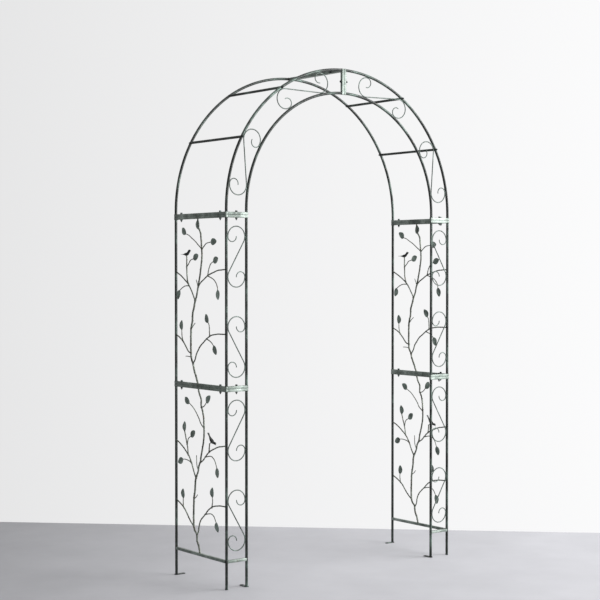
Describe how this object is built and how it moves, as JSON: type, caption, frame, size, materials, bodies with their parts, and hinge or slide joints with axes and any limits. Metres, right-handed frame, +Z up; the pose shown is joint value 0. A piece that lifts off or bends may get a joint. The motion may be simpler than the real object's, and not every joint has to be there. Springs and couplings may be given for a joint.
{
  "type": "metal trellis arch",
  "caption": "Free-standing walk-through garden arch of painted steel tube, with wire tree panels in its sides and a scroll ladder across its front.",
  "frame": {"origin": "on the ground, at the middle of the arch's plan", "axes": "+X across the opening to the right seen from the front, +Y from the scroll front to the rear, +Z up"},
  "size_m": [1.37, 0.4532, 2.4],
  "materials": {
    "tube_paint": "satin paint with a dry verdigris wash",
    "bar_paint": "satin paint with a dry verdigris wash",
    "scroll_paint": "satin paint with a dry verdigris wash",
    "tree_paint": "rough bark-like paint with a bronze brown undertone",
    "leaf_paint": "verdigris green paint rubbed back to bronze at the edges",
    "bird_paint": "dark bronze paint",
    "bolt_metal": "blackened zinc"
  },
  "bodies": {
    "root": {"left_lower_front_outer_post": "tube_paint", "left_lower_front_inner_post": "tube_paint", "left_lower_rear_post": "tube_paint", "left_lower_side_bars": "bar_paint", "left_lower_front_bars": "bar_paint", "left_lower_tree_wires": "tree_paint", "left_lower_tree_leaves": "leaf_paint", "left_lower_bird": "bird_paint", "left_lower_scrolls": "scroll_paint", "left_upper_front_outer_post": "tube_paint", "left_upper_front_inner_post": "tube_paint", "left_upper_rear_post": "tube_paint", "left_upper_side_bars": "bar_paint", "left_upper_front_bars": "bar_paint", "left_upper_tree_wires": "tree_paint", "left_upper_tree_leaves": "leaf_paint", "left_upper_bird": "bird_paint", "left_upper_scrolls": "scroll_paint", "right_lower_front_outer_post": "tube_paint", "right_lower_front_inner_post": "tube_paint", "right_lower_rear_post": "tube_paint", "right_lower_side_bars": "bar_paint", "right_lower_front_bars": "bar_paint", "right_lower_tree_wires": "tree_paint", "right_lower_tree_leaves": "leaf_paint", "right_lower_bird": "bird_paint", "right_lower_scrolls": "scroll_paint", "right_upper_front_outer_post": "tube_paint", "right_upper_front_inner_post": "tube_paint", "right_upper_rear_post": "tube_paint", "right_upper_side_bars": "bar_paint", "right_upper_front_bars": "bar_paint", "right_upper_tree_wires": "tree_paint", "right_upper_tree_leaves": "leaf_paint", "right_upper_bird": "bird_paint", "right_upper_scrolls": "scroll_paint", "left_outer_arc": "tube_paint", "left_inner_arc": "tube_paint", "left_rear_arc": "tube_paint", "left_spring_bars": "bar_paint", "left_crown_bars": "bar_paint", "left_rungs": "tube_paint", "left_arch_scrolls": "scroll_paint", "left_foot_tabs": "tube_paint", "right_outer_arc": "tube_paint", "right_inner_arc": "tube_paint", "right_rear_arc": "tube_paint", "right_spring_bars": "bar_paint", "right_crown_bars": "bar_paint", "right_rungs": "tube_paint", "right_arch_scrolls": "scroll_paint", "right_foot_tabs": "tube_paint", "mid_joint_bolts": "bolt_metal", "mid_joint_nuts": "bolt_metal", "top_joint_bolts": "bolt_metal", "top_joint_nuts": "bolt_metal", "crown_bolts": "bolt_metal", "crown_nuts": "bolt_metal", "rung_bolts": "bolt_metal", "rung_plugs": "bolt_metal"}
  },
  "joints": []
}
